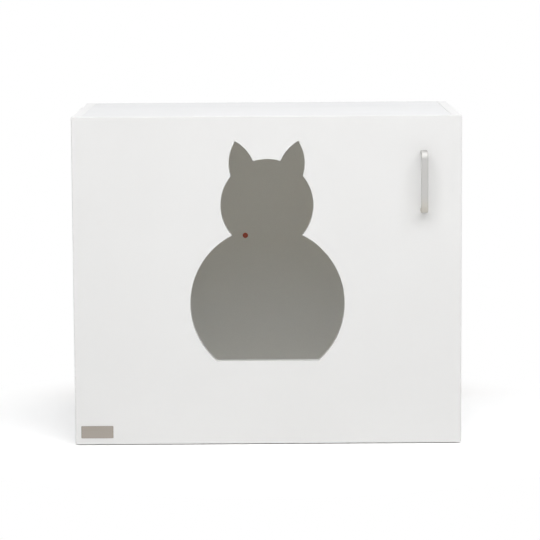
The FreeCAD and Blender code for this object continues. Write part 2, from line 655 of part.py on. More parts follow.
def hinge_cup(z):
    """Pressed cup with its flange, and two lugs that carry the pins."""
    x = cup_x()
    floor_y = DOOR_BACK_Y - CUP_DEPTH
    top = DOOR_BACK_Y + FLANGE
    outer_radius = CUP_BORE_RADIUS - FIT_PLAY
    shell = rod_y(outer_radius, floor_y, top, x, z)
    rim = rod_y(CUP_BORE_RADIUS + RIM_OVERHANG, DOOR_BACK_Y, top, x, z)
    ears = belt([(x + EAR_OFFSET, -z - EAR_SPACING / 2, EAR_RADIUS),
                 (x + EAR_OFFSET, -z + EAR_SPACING / 2, EAR_RADIUS)], 0, FLANGE)
    ears.rotate(vector(0, 0, 0), vector(1, 0, 0), -90)
    ears.translate(vector(0, DOOR_BACK_Y, 0))
    body = fuse([shell, rim, ears])
    hollow = rod_y(outer_radius - CUP_WALL, floor_y + CUP_FLOOR, top, x, z)
    tools = [hollow] + [rod_y(WOOD_SCREW_RADIUS + FIT_PLAY, DOOR_BACK_Y, top, x + EAR_OFFSET, z + dz)
                        for dz in ear_rows()]
    body = cut(body, tools)
    x1, y1 = hinge_point(SHORT_CUP_PIN)
    x2, y2 = hinge_point(LONG_CUP_PIN)
    foot_y = floor_y + CUP_FLOOR / 2
    lugs = [belt([(x2, y2, RIVET_HEAD_RADIUS - FIT_PLAY), (x1 - LUG_RADIUS, foot_y, CUP_FLOOR / 2),
                  (x1 + CUP_LUG_FOOT, foot_y, CUP_FLOOR / 2), (x1, y1, LUG_RADIUS)], low, high)
            for low, high in both_ways(z, LUG_INNER, LUG_OUTER)]
    body = fuse([body] + lugs)
    pins = [rod_z(PIN_RADIUS + FIT_PLAY / 2, z - LUG_OUTER, z + LUG_OUTER, x1, y1),
            rod_z(RIVET_RADIUS + FIT_PLAY / 2, z - LUG_OUTER, z + LUG_OUTER, x2, y2)]
    return cut(body, pins)


def cup_pins(z):
    """Through pin of the short link and the two outer rivets that the long link runs on."""
    x1, y1 = hinge_point(SHORT_CUP_PIN)
    x2, y2 = hinge_point(LONG_CUP_PIN)
    pins = [rod_z(PIN_RADIUS, z - LUG_OUTER, z + LUG_OUTER, x1, y1)]
    end = LONG_PLATE_OUTER + LUG_GAP
    for way in (-1, 1):
        profile = [(LUG_INNER, 0), (LUG_INNER, RIVET_RADIUS), (end, RIVET_RADIUS),
                   (end, RIVET_HEAD_RADIUS), (end + RIVET_HEAD, RIVET_HEAD_RADIUS), (end + RIVET_HEAD, 0)]
        pins.append(turned(profile, vector(x2, y2, z), vector(0, 0, way)))
    return pins


def arm_pins(z):
    """The two pins in the nose of the arm."""
    x1, y1 = hinge_point(SHORT_ARM_PIN)
    x2, y2 = hinge_point(LONG_ARM_PIN)
    end = LONG_PLATE_OUTER + LUG_GAP
    long_pin = [rod_z(PIN_RADIUS, z - end, z + end, x2, y2),
                rod_z(RIVET_HEAD_RADIUS, z + end, z + end + RIVET_HEAD, x2, y2),
                rod_z(RIVET_HEAD_RADIUS, z - end - RIVET_HEAD, z - end, x2, y2)]
    return [rod_z(PIN_RADIUS, z - LUG_OUTER, z + LUG_OUTER, x1, y1), fuse(long_pin)]


def short_link(z):
    start = hinge_point(SHORT_CUP_PIN)
    end = hinge_point(SHORT_ARM_PIN)
    low = z - SHORT_LINK_HALF
    high = z + SHORT_LINK_HALF
    link = curved_link(start, end, SHORT_LINK_SAG, SHORT_EYE_RADIUS, SHORT_EYE_RADIUS,
                       LINK_HALF_WIDTH, low, high)
    return cut(link, [rod_z(PIN_RADIUS + FIT_PLAY, low, high, x, y) for x, y in (start, end)])


def long_link(z):
    """Two side plates outside the lugs; their cup end runs round the rivets with play."""
    start = hinge_point(LONG_LINK_END)
    end = hinge_point(LONG_ARM_PIN)
    bore = RIVET_RADIUS + OPEN_PIVOT_PLAY
    plates = []
    for low, high in both_ways(z, LONG_PLATE_INNER, LONG_PLATE_OUTER):
        plate = curved_link(start, end, LONG_LINK_SAG, bore + EYE_WALL, LUG_RADIUS,
                            LINK_HALF_WIDTH, low, high)
        plates.append(cut(plate, [rod_z(bore, low, high, start[0], start[1]),
                                  rod_z(PIN_RADIUS + FIT_PLAY, low, high, end[0], end[1])]))
    return plates


def plate_screw_rows():
    return [-BASE_SCREW_SPACING / 2, BASE_SCREW_SPACING / 2]


def plate_screw_places():
    """Where the heads of the mounting plate screws sit on the plates."""
    return [vector(-INSIDE_X + BASE_THICKNESS, CARCASS_FRONT_Y + BASE_SCREW_Y, z + dz)
            for z in hinge_heights() for dz in plate_screw_rows()]


def mounting_plate_screws():
    return [screw(start, vector(1, 0, 0), PLATE_SCREW_RADIUS, PLATE_SCREW_LENGTH,
                  PLATE_SCREW_HEAD_RADIUS, PLATE_SCREW_HEAD) for start in plate_screw_places()]


def mounting_plate(z):
    """Winged base on the side panel, with the block that the arm is clamped on."""
    face = -INSIDE_X
    y_mid = CARCASS_FRONT_Y + BASE_SCREW_Y
    half = BASE_SCREW_SPACING / 2
    wings = belt([(-z - half, y_mid, BASE_EAR_RADIUS), (-z + half, y_mid, BASE_EAR_RADIUS)],
                 0, BASE_THICKNESS)
    wings.rotate(vector(0, 0, 0), vector(0, 1, 0), 90)
    wings.translate(vector(face, 0, 0))
    y0 = CARCASS_FRONT_Y + BASE_FRONT
    y1 = CARCASS_FRONT_Y + BASE_REAR
    block = box(face, face + BLOCK_TOP_P, y0, y1, z - BASE_HALF, z + BASE_HALF)
    holes = [rod_x(PLATE_SCREW_RADIUS + FIT_PLAY, face, face + BASE_THICKNESS, y_mid, z + dz)
             for dz in plate_screw_rows()]
    holes.append(rod_x(FIXING_SCREW_RADIUS + FIT_PLAY, face + ARM_TOP_P - FIXING_SCREW_LENGTH - FIT_PLAY,
                       face + BLOCK_TOP_P, CARCASS_FRONT_Y + FIXING_SCREW_Y, z))
    return cut(fuse([wings, block]), holes)


def hinge_arm(z):
    """Channel over the mounting plate, with two lugs at the nose for the pins."""
    face = -INSIDE_X
    top = face + ARM_TOP_P
    y_front = CARCASS_FRONT_Y + ARM_FRONT
    y_rear = CARCASS_FRONT_Y + ARM_REAR
    web = box(top - ARM_SHEET, top, y_front, y_rear, z - ARM_HALF, z + ARM_HALF)
    parts = [web]
    for low, high in both_ways(z, ARM_HALF - ARM_SHEET, ARM_HALF):
        parts.append(box(face + ARM_CHEEK_LOW, top, CARCASS_FRONT_Y + ARM_CHEEK_FRONT, y_rear, low, high))
    x1, y1 = hinge_point(SHORT_ARM_PIN)
    x2, y2 = hinge_point(LONG_ARM_PIN)
    heel_x = top - LUG_HEEL_RADIUS
    heel_y = CARCASS_FRONT_Y + LUG_REAR - LUG_HEEL_RADIUS
    toe_x = face + SHORT_ARM_PIN[0] + LUG_HEEL_RADIUS
    for low, high in both_ways(z, LUG_INNER, LUG_OUTER):
        parts.append(belt([(x1, y1, LUG_RADIUS), (x2, y2, LUG_RADIUS),
                           (heel_x, heel_y, LUG_HEEL_RADIUS), (toe_x, heel_y, LUG_HEEL_RADIUS)], low, high))
    holes = [rod_z(PIN_RADIUS + FIT_PLAY / 2, z - LUG_OUTER, z + LUG_OUTER, x, y)
             for x, y in ((x1, y1), (x2, y2))]
    holes.append(rod_x(FIXING_SCREW_RADIUS + FIT_PLAY, top - ARM_SHEET, top,
                       CARCASS_FRONT_Y + FIXING_SCREW_Y, z))
    holes.append(rod_x(ADJUSTING_SCREW_RADIUS + FIT_PLAY, top - ARM_SHEET, top,
                       CARCASS_FRONT_Y + ADJUSTING_SCREW_Y, z))
    return cut(fuse(parts), holes)


def arm_fixing_screw(z):
    start = vector(-INSIDE_X + ARM_TOP_P, CARCASS_FRONT_Y + FIXING_SCREW_Y, z)
    return screw(start, vector(1, 0, 0), FIXING_SCREW_RADIUS, FIXING_SCREW_LENGTH,
                 FIXING_SCREW_HEAD_RADIUS, FIXING_SCREW_HEAD)


def arm_adjusting_screw(z):
    """Grub screw in the web that bears on the mounting plate's block."""
    top = -INSIDE_X + ARM_TOP_P
    y = CARCASS_FRONT_Y + ADJUSTING_SCREW_Y
    body = rod_x(ADJUSTING_SCREW_RADIUS, -INSIDE_X + BLOCK_TOP_P, top + ADJUSTING_SCREW_RISE, y, z)
    half = RECESS_WIDTH / 2
    slot = box(top, top + ADJUSTING_SCREW_RISE, y - ADJUSTING_SCREW_RADIUS,
               y + ADJUSTING_SCREW_RADIUS, z - half, z + half)
    return cut(body, [slot])


def build():
    os.makedirs("parts", exist_ok=True)
    save("left_side_panel", [side_panel(-1)])
    save("right_side_panel", [side_panel(1)])
    save("top_panel", [top_panel()])
    save("bottom_panel", [bottom_panel()])
    save("back_panel", [back_panel()])
    save("fixing_hole_cap", [fixing_hole_cap()])
    save("carcass_edge_bands", edge_bands())
    save("cam_housings", cam_housings())
    save("cam_bolts", cam_bolts())
    save("wooden_dowels", wooden_dowels())
    save("cam_cover_caps", cam_cover_caps())
    save("door_panel", [door_panel()])
    save("door_handle", [door_handle()])
    save("handle_screws", handle_screws())
    save("blank_plate", [blank_plate()])
    save("door_bumpers", door_bumpers())
    for place, z in zip(("lower", "upper"), hinge_heights()):
        save(place + "_hinge_cup", [hinge_cup(z)])
        save(place + "_hinge_arm", [hinge_arm(z)])
        save(place + "_mounting_plate", [mounting_plate(z)])
        save(place + "_short_link", [short_link(z)])
        save(place + "_long_link", long_link(z))
    both = hinge_heights()
    save("cup_pins", [pin for z in both for pin in cup_pins(z)])
    save("arm_pins", [pin for z in both for pin in arm_pins(z)])
    save("cup_screws", cup_screws())
    save("mounting_plate_screws", mounting_plate_screws())
    save("arm_fixing_screws", [arm_fixing_screw(z) for z in both])
    save("arm_adjusting_screws", [arm_adjusting_screw(z) for z in both])


build()
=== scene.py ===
"""Cat litter box cabinet: materials, rounded boards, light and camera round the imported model.

Metres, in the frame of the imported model: X to the right, Y to the back, Z up, door facing -Y.
"""
import json
import math

import bmesh
import bpy
from mathutils import Matrix, Vector

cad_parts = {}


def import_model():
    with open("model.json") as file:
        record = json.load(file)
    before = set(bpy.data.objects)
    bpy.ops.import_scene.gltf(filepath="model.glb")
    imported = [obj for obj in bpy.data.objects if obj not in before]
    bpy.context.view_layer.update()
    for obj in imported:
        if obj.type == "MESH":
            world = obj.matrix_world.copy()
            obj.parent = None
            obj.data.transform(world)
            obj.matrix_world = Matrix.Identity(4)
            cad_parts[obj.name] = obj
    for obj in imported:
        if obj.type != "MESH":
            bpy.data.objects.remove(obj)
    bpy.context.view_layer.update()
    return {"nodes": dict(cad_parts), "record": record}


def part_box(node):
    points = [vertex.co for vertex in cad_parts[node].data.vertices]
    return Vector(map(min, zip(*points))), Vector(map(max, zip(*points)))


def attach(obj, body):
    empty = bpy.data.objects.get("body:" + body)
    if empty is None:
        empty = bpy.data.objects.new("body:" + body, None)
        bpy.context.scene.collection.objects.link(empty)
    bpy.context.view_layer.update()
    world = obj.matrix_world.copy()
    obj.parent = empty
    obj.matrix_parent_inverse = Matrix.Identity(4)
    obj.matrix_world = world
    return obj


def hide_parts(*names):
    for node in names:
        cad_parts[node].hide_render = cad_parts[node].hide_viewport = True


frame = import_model()
NODES = frame["nodes"]

MM = 0.001

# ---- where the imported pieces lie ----
BACK_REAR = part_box("back_panel")[1][1]
CARCASS_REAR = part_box("left_side_panel")[1][1]
ROOM_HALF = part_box("right_side_panel")[0][0]
ROOM_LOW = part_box("bottom_panel")[1][2]
ROOM_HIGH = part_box("top_panel")[0][2]
BAND_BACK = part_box("right_side_panel")[0][1]
BAND_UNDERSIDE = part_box("right_side_panel")[1][2]
HANDLE_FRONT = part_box("door_handle")[0][1]
HANDLE_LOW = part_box("door_handle")[0][2]
FACE_NEAR = 0.05 * MM

# ---- camera, fitted to the photograph's four front corners and two rear ones ----
CAMERA_PLACE = Vector((0.00151, -4.47077, 0.81820))
CAMERA_YAW = 0.000688
CAMERA_PITCH = 0.121818
CAMERA_ROLL = 0.0060237
CAMERA_LENS = 172.375
CAMERA_SENSOR = 36.0

# ---- edges: how far the sharp edges of the boards are eased ----
BOARD_EASE = 0.4 * MM
DOORWAY_EASE = 0.7 * MM
EASE_STEPS = 3
TOP_SEAM_LEFT = 0.15 * MM
TOP_SEAM_RIGHT = 0.70 * MM
EASE_ANGLE = math.radians(50)
SMOOTH_ANGLE = math.radians(32)
FLAT_ANGLE = math.radians(0.3)
FLAT_WEIGHT = 100
WELD = 0.002 * MM

# ---- inside colours, painted lighter than the outer faces for light bouncing in the cabinet; painted bounce light makes the back lighter and cooler low down and warmer higher up, by its height ----
BACK_LOW_PAINTED_BOUNCE = (0.960, 0.970, 0.972)
BACK_HIGH_PAINTED_BOUNCE = (0.925, 0.907, 0.852)
BACK_PAINTED_LIGHT_CLOUD = (0.920, 0.912, 0.880)
# painted light: the inside faces are set lighter and warmer than the outer white, for light bouncing in
# the cabinet
INSIDE_PAINTED_LIGHT_WHITE = (0.935, 0.926, 0.895)
INSIDE_PAINTED_LIGHT_CLOUD = (0.915, 0.906, 0.876)
BACK_PAINTED_BOUNCE_RISE = (0.15, 0.30)

# ---- back board screen marks, handle with a painted floor reflection, and plate with painted rim shade ----
SCREEN_RATE = 4200.0
LEG_START = (9 * MM, 15 * MM)
# span at the handle's lower end over which a warm floor reflection is painted
PAINTED_REFLECTION_SPAN = (6 * MM, 30 * MM)
# width of the painted shade along the plate's rim
PLATE_PAINTED_RIM_SHADE = (0.1 * MM, 1.1 * MM)

# ---- light: a white room seen through a small doorway needs many bounces ----
DIFFUSE_BOUNCES = 12
WORLD_LEVEL = 0.21
FLOOR_COLOUR = (0.90, 0.90, 0.895, 1)
FLOOR_SEEN = (1.25, 1.25, 1.25, 1)
FLOOR_SIZE = 14.0
FLOOR_DROP = 0.2 * MM
SHADOW_REACH = (0.36, 0.64)


# =========================== node helpers ===========================

class Shader:
    """One node material: each call adds a node and returns the output that is of use."""

    def __init__(self, name):
        self.material = bpy.data.materials.new(name)
        self.material.use_nodes = True
        self.tree = self.material.node_tree
        self.tree.nodes.clear()
        self.surface = self.tree.nodes.new("ShaderNodeBsdfPrincipled")
        end = self.tree.nodes.new("ShaderNodeOutputMaterial")
        self.tree.links.new(self.surface.outputs["BSDF"], end.inputs["Surface"])
        place = self.tree.nodes.new("ShaderNodeTexCoord")
        self.place = place.outputs["Object"]

    def node(self, kind, **settings):
        node = self.tree.nodes.new(kind)
        for key, value in settings.items():
            setattr(node, key, value)
        return node

    def feed(self, socket, value):
        """Link a socket to an output, or set it to a plain value."""
        if isinstance(value, bpy.types.NodeSocket):
            self.tree.links.new(value, socket)
        else:
            socket.default_value = value

    def fixed(self, **values):
        """Values that are the same all over the surface, by the shader's own input names."""
        for key, value in values.items():
            self.surface.inputs[key.replace("_", " ")].default_value = value

    def stretched(self, scale, turn=(0, 0, 0)):
        """Place on the piece, scaled along X, Y and Z."""
        mapping = self.node("ShaderNodeMapping")
        self.feed(mapping.inputs["Vector"], self.place)
        mapping.inputs["Scale"].default_value = scale
        mapping.inputs["Rotation"].default_value = turn
        return mapping.outputs["Vector"]

    def noise(self, scale, detail=3.0, rough=0.5, at=None, warp=0.0):
        noise = self.node("ShaderNodeTexNoise")
        self.feed(noise.inputs["Vector"], at or self.place)
        noise.inputs["Scale"].default_value = scale
        noise.inputs["Detail"].default_value = detail
        noise.inputs["Roughness"].default_value = rough
        noise.inputs["Distortion"].default_value = warp
        return noise.outputs["Fac"]

    def cells(self, scale, at=None, feature="F1", output="Distance"):
        cells = self.node("ShaderNodeTexVoronoi", feature=feature)
        self.feed(cells.inputs["Vector"], at or self.place)
        cells.inputs["Scale"].default_value = scale
        return cells.outputs[output]

    def spread(self, value, low, high, to_low=0.0, to_high=1.0):
        """Rescale value from low..high to to_low..to_high, held at both ends."""
        scale = self.node("ShaderNodeMapRange", clamp=True)
        self.feed(scale.inputs["Value"], value)
        for key, number in (("From Min", low), ("From Max", high),
                            ("To Min", to_low), ("To Max", to_high)):
            scale.inputs[key].default_value = number
        return scale.outputs["Result"]

    def math(self, operation, first, second=0.0):
        node = self.node("ShaderNodeMath", operation=operation)
        self.feed(node.inputs[0], first)
        self.feed(node.inputs[1], second)
        return node.outputs["Value"]

    def blend(self, amount, first, second):
        """Colour between first and second."""
        node = self.node("ShaderNodeMix", data_type="RGBA")
        self.feed(node.inputs["Factor"], amount)
        self.feed(node.inputs["A"], colour(first))
        self.feed(node.inputs["B"], colour(second))
        return node.outputs["Result"]

    def mixed(self, amount, first, second):
        """Number between first and second."""
        node = self.node("ShaderNodeMix", data_type="FLOAT")
        self.feed(node.inputs["Factor"], amount)
        self.feed(node.inputs["A"], first)
        self.feed(node.inputs["B"], second)
        return node.outputs["Result"]

    def axis(self, letter):
        split = self.node("ShaderNodeSeparateXYZ")
        self.feed(split.inputs["Vector"], self.place)
        return split.outputs[letter]

    def bump(self, height, depth, under=None):
        """Relief of a depth in metres, laid over an earlier relief."""
        bump = self.node("ShaderNodeBump")
        bump.inputs["Strength"].default_value = 1.0
        bump.inputs["Distance"].default_value = depth
        self.feed(bump.inputs["Height"], height)
        if under:
            self.feed(bump.inputs["Normal"], under)
        return bump.outputs["Normal"]

    def finish(self, base, roughness, normal=None):
        self.feed(self.surface.inputs["Base Color"], base)
        self.feed(self.surface.inputs["Roughness"], roughness)
        if normal:
            self.feed(self.surface.inputs["Normal"], normal)
        return self.material


def colour(value):
    """Three numbers become a colour with alpha; an output passes through."""
    if isinstance(value, bpy.types.NodeSocket):
        return value
    return (value[0], value[1], value[2], 1.0)


# =========================== materials ===========================

def white_relief(shader, ripple, fine):
    """Shallow ripple with finer pores over it, as on a coated or lacquered board."""
    waves = shader.noise(210, 2.0, 0.5)
    relief = shader.bump(waves, ripple)
    pores = shader.noise(1900, 3.0, 0.6)
    return shader.bump(pores, fine, relief)


def chipboard_core(shader):
    """Raw core of a board: pressed chips in several browns."""
    chips = shader.cells(620, output="Color")
    split = shader.node("ShaderNodeSeparateColor")
    shader.feed(split.inputs["Color"], chips)
    grain = shader.noise(1500, 4.0, 0.65)
    tone = shader.blend(split.outputs["Red"], (0.40, 0.27, 0.15), (0.66, 0.50, 0.32))
    return shader.blend(shader.spread(grain, 0.35, 0.7), tone, (0.52, 0.38, 0.23))


def inside_room(shader):
    """1 on the board faces that look into the cabinet, 0 elsewhere."""
    across = shader.math("LESS_THAN", shader.math("ABSOLUTE", shader.axis("X")),
                         ROOM_HALF + FACE_NEAR)
    above = shader.math("GREATER_THAN", shader.axis("Z"), ROOM_LOW - FACE_NEAR)
    below = shader.math("LESS_THAN", shader.axis("Z"), ROOM_HIGH + FACE_NEAR)
    return shader.math("MULTIPLY", across, shader.math("MULTIPLY", above, below))


def faced_board(name, white, shade):
    """White faced chipboard, painted lighter and warmer inside for light bouncing in the cabinet, whose
    rear and lower edges are left raw.
    """
    shader = Shader(name)
    cloud = shader.spread(shader.noise(5.5, 3.0, 0.55), 0.3, 0.7)
    speck = shader.spread(shader.noise(760, 2.0, 0.5), 0.35, 0.75)
    face = shader.blend(cloud, white, shade)
    # painted light: inside faces get a lighter, warmer white than the outer faces, for bounce light in the
    # cabinet
    inside_painted_light = shader.blend(cloud, INSIDE_PAINTED_LIGHT_WHITE, INSIDE_PAINTED_LIGHT_CLOUD)
    face = shader.blend(inside_room(shader), face, inside_painted_light)
    face = shader.blend(shader.math("MULTIPLY", speck, 0.22), face, shade)
    rear = shader.math("GREATER_THAN", shader.axis("Y"), CARCASS_REAR - FACE_NEAR)
    low = shader.math("LESS_THAN", shader.axis("Z"), FACE_NEAR)
    raw = shader.math("MAXIMUM", rear, low)
    base = shader.blend(raw, face, chipboard_core(shader))
    rough = shader.spread(shader.noise(38, 4.0, 0.6), 0.3, 0.7, 0.50, 0.60)
    shader.fixed(Specular_IOR_Level=0.22)
    return shader.finish(base, shader.mixed(raw, rough, 0.9), white_relief(shader, 0.03 * MM, 0.012 * MM))


def door_lacquer(name):
    """White lacquer, a little rippled, with smoother and duller patches all over."""
    shader = Shader(name)
    cloud = shader.spread(shader.noise(3.2, 3.0, 0.5), 0.3, 0.7)
    base = shader.blend(cloud, (0.828, 0.826, 0.820), (0.806, 0.803, 0.796))
    dust = shader.spread(shader.noise(1300, 2.0, 0.5), 0.62, 0.80, 0.0, 0.35)
    base = shader.blend(dust, base, (0.74, 0.735, 0.725))
    handled = shader.spread(shader.noise(16, 5.0, 0.62, warp=0.4), 0.42, 0.66)
    rough = shader.mixed(handled, 0.37, 0.45)
    shader.fixed(Specular_IOR_Level=0.5, Coat_Weight=0.12, Coat_Roughness=0.3)
    return shader.finish(base, rough, white_relief(shader, 0.045 * MM, 0.008 * MM))


def edge_strip(name):
    """Extruded white strip: faint draw lines along it and a slightly cooler white."""
    shader = Shader(name)
    lines = shader.noise(60, 3.0, 0.6, at=shader.stretched((70, 0.35, 0.35)))
    cloud = shader.spread(shader.noise(9, 2.0, 0.5), 0.3, 0.7)
    base = shader.blend(cloud, (0.850, 0.850, 0.848), (0.825, 0.826, 0.826))
    rough = shader.spread(lines, 0.3, 0.7, 0.34, 0.44)
    fine = shader.noise(1500, 2.0, 0.5)
    shader.fixed(Specular_IOR_Level=0.5)
    return shader.finish(base, rough, shader.bump(fine, 0.008 * MM, shader.bump(lines, 0.02 * MM)))


def back_board(name):
    """Thin hardboard: pale inside, with painted bounce light making it lighter and cooler low down; brown
    and screen-marked behind.
    """
    shader = Shader(name)
    cloud = shader.spread(shader.noise(4.0, 4.0, 0.55), 0.3, 0.7)
    fibre = shader.noise(900, 4.0, 0.65)
    # painted bounce light: the inside of the back turns lighter and cooler low down and warmer higher up,
    # by its height
    painted_bounce_rise = shader.spread(shader.axis("Z"), *BACK_PAINTED_BOUNCE_RISE)
    inside = shader.blend(painted_bounce_rise, BACK_LOW_PAINTED_BOUNCE, BACK_HIGH_PAINTED_BOUNCE)
    inside = shader.blend(shader.math("MULTIPLY", cloud, 0.5), inside, BACK_PAINTED_LIGHT_CLOUD)
    inside = shader.blend(shader.spread(fibre, 0.45, 0.8, 0.0, 0.2), inside, (0.60, 0.59, 0.56))
    flecks = shader.spread(shader.noise(420, 5.0, 0.7), 0.4, 0.7)
    brown = shader.blend(flecks, (0.335, 0.215, 0.120), (0.430, 0.295, 0.180))
    behind = shader.math("GREATER_THAN", shader.axis("Y"), BACK_REAR - FACE_NEAR)
    base = shader.blend(behind, inside, brown)
    weave_x = shader.math("SINE", shader.math("MULTIPLY", shader.axis("X"), SCREEN_RATE))
    weave_z = shader.math("SINE", shader.math("MULTIPLY", shader.axis("Z"), SCREEN_RATE))
    screen = shader.math("MULTIPLY", shader.math("MULTIPLY", weave_x, weave_z), behind)
    relief = shader.bump(screen, 0.10 * MM, shader.bump(fibre, 0.02 * MM))
    rough = shader.mixed(behind, shader.spread(fibre, 0.3, 0.7, 0.52, 0.64), 0.82)
    shader.fixed(Specular_IOR_Level=0.35)
    return shader.finish(base, rough, relief)


def brushed_handle(name):
    """Satin aluminium brushed up the grip and out along the legs, with a painted warm reflection of the
    floor at its lower end.
    """
    shader = Shader(name)
    up = shader.noise(420, 4.0, 0.65, at=shader.stretched((6, 6, 0.07)))
    out = shader.noise(420, 4.0, 0.65, at=shader.stretched((6, 0.12, 6)))
    legs = shader.spread(shader.axis("Y"), HANDLE_FRONT + LEG_START[0],
                         HANDLE_FRONT + LEG_START[1])
    strokes = shader.mixed(legs, up, out)
    cloud = shader.spread(shader.noise(42, 3.0, 0.5), 0.3, 0.7)
    base = shader.blend(strokes, (0.485, 0.482, 0.472), (0.572, 0.568, 0.556))
    base = shader.blend(shader.math("MULTIPLY", cloud, 0.25), base, (0.525, 0.512, 0.485))
    # painted reflection: the lower end of the handle is tinted warm like the floor it would reflect
    painted_floor_reflection = shader.spread(shader.axis("Z"), HANDLE_LOW + PAINTED_REFLECTION_SPAN[0],
                         HANDLE_LOW + PAINTED_REFLECTION_SPAN[1], 0.5, 0.0)
    base = shader.blend(painted_floor_reflection, base, (0.545, 0.505, 0.425))
    rough = shader.spread(strokes, 0.3, 0.7, 0.44, 0.54)
    shader.fixed(Metallic=1.0)
    return shader.finish(base, rough, shader.bump(strokes, 0.02 * MM))


def plated_metal(name, bright, dull, rough_low, rough_high, grain):
    """Plated or cast metal: cloudy plating, fine grain and a few duller patches."""
    shader = Shader(name)
    cloud = shader.spread(shader.noise(85, 4.0, 0.6), 0.32, 0.7)
    patches = shader.spread(shader.noise(260, 3.0, 0.5, warp=0.8), 0.5, 0.72, 0.0, 0.3)
    base = shader.blend(cloud, bright, dull)
    base = shader.blend(patches, base, dull)
    fine = shader.noise(2600, 3.0, 0.6)
    rough = shader.mixed(cloud, rough_low, rough_high)
    shader.fixed(Metallic=1.0)
    return shader.finish(base, rough, shader.bump(fine, grain))


def beech(name):
    """Straight-grained turned beech with short dark flecks."""
    shader = Shader(name)
    grain = shader.noise(260, 5.0, 0.6, at=shader.stretched((0.16, 2.2, 2.2)), warp=0.3)
    flecks = shader.cells(700, at=shader.stretched((0.3, 1.6, 1.6)))
    base = shader.blend(shader.spread(grain, 0.3, 0.72), (0.60, 0.40, 0.23), (0.74, 0.55, 0.36))
    base = shader.blend(shader.spread(flecks, 0.0, 0.16, 0.55, 0.0), base, (0.42, 0.25, 0.13))
    return shader.finish(base, shader.spread(grain, 0.3, 0.7, 0.5, 0.62), shader.bump(grain, 0.05 * MM))


def moulded_plastic(name, light, dark, rough_low, rough_high, cloud_scale):
    """Moulded plastic: slight flow clouds and a spark-eroded skin."""
    shader = Shader(name)
    cloud = shader.spread(shader.noise(cloud_scale, 4.0, 0.6, warp=0.7), 0.34, 0.68)
    skin = shader.noise(2100, 2.0, 0.5)
    base = shader.blend(cloud, light, dark)
    rough = shader.spread(shader.noise(130, 3.0, 0.5), 0.3, 0.7, rough_low, rough_high)
    shader.fixed(Specular_IOR_Level=0.5)
    return shader.finish(base, rough, shader.bump(skin, 0.015 * MM))


def blank_plate(name):
    """Warm grey satin plate, brushed sideways, with painted shade along its rim as on rolled edges."""
    shader = Shader(name)
    strokes = shader.noise(380, 4.0, 0.65, at=shader.stretched((0.08, 5, 5)))
    base = shader.blend(strokes, (0.335, 0.300, 0.262), (0.405, 0.370, 0.332))
    low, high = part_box("blank_plate")
    edge = None
    for letter, start, end in (("X", low[0], high[0]), ("Z", low[2], high[2])):
        for value in (shader.math("SUBTRACT", shader.axis(letter), start),
                      shader.math("SUBTRACT", end, shader.axis(letter))):
            edge = shader.math("MINIMUM", edge, value) if edge else value
    # painted shade: the plate darkens along its rim as a rolled edge would
    base = shader.blend(shader.spread(edge, *PLATE_PAINTED_RIM_SHADE, 0.55, 0.0), base, (0.235, 0.205, 0.175))
    rough = shader.spread(strokes, 0.3, 0.7, 0.42, 0.54)
    shader.fixed(Metallic=0.55, Specular_IOR_Level=0.4)
    return shader.finish(base, rough, shader.bump(strokes, 0.02 * MM))


def clear_rubber(name):
    """Soft clear bumper with a slight haze and tiny bubbles."""
    shader = Shader(name)
    haze = shader.spread(shader.noise(300, 3.0, 0.5), 0.3, 0.7)
    bubbles = shader.spread(shader.cells(1500), 0.0, 0.12, 1.0, 0.0)
    base = shader.blend(haze, (0.86, 0.88, 0.88), (0.74, 0.76, 0.76))
    base = shader.blend(bubbles, base, (0.93, 0.94, 0.94))
    shader.fixed(Transmission_Weight=0.55, IOR=1.49)
    return shader.finish(base, shader.mixed(haze, 0.12, 0.26), shader.bump(bubbles, 0.02 * MM))


def finishes():
    """Every material slot of the record with its finish."""
    return {
        "white_board": faced_board("white_board", (0.835, 0.838, 0.846), (0.805, 0.808, 0.815)),
        "back_board": back_board("back_board"),
        "edge_band": edge_strip("edge_band"),
        "door_lacquer": door_lacquer("door_lacquer"),
        "satin_aluminium": brushed_handle("satin_aluminium"),
        "nickel": plated_metal("nickel", (0.71, 0.70, 0.67), (0.65, 0.64, 0.61), 0.17, 0.24, 0.002 * MM),
        "steel": plated_metal("steel", (0.62, 0.63, 0.64), (0.56, 0.56, 0.55), 0.26, 0.36, 0.004 * MM),
        "zinc": plated_metal("zinc", (0.52, 0.53, 0.54), (0.40, 0.41, 0.42), 0.46, 0.62, 0.05 * MM),
        "beech": beech("beech"),
        "red_cap": moulded_plastic("red_cap", (0.62, 0.105, 0.045), (0.46, 0.062, 0.026), 0.28, 0.40, 420),
        "white_plastic": moulded_plastic("white_plastic", (0.80, 0.80, 0.79), (0.75, 0.75, 0.735),
                                         0.36, 0.48, 60),
        "grey_plate": blank_plate("grey_plate"),
        "clear_rubber": clear_rubber("clear_rubber"),
    }


def dress_nodes(materials):
    """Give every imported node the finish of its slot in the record."""
    for row in frame["record"]["subparts"]:
        mesh = NODES[row["node"]].data
        mesh.materials.clear()
        mesh.materials.append(materials[row["material_slot"]])


# =========================== rounded boards ===========================

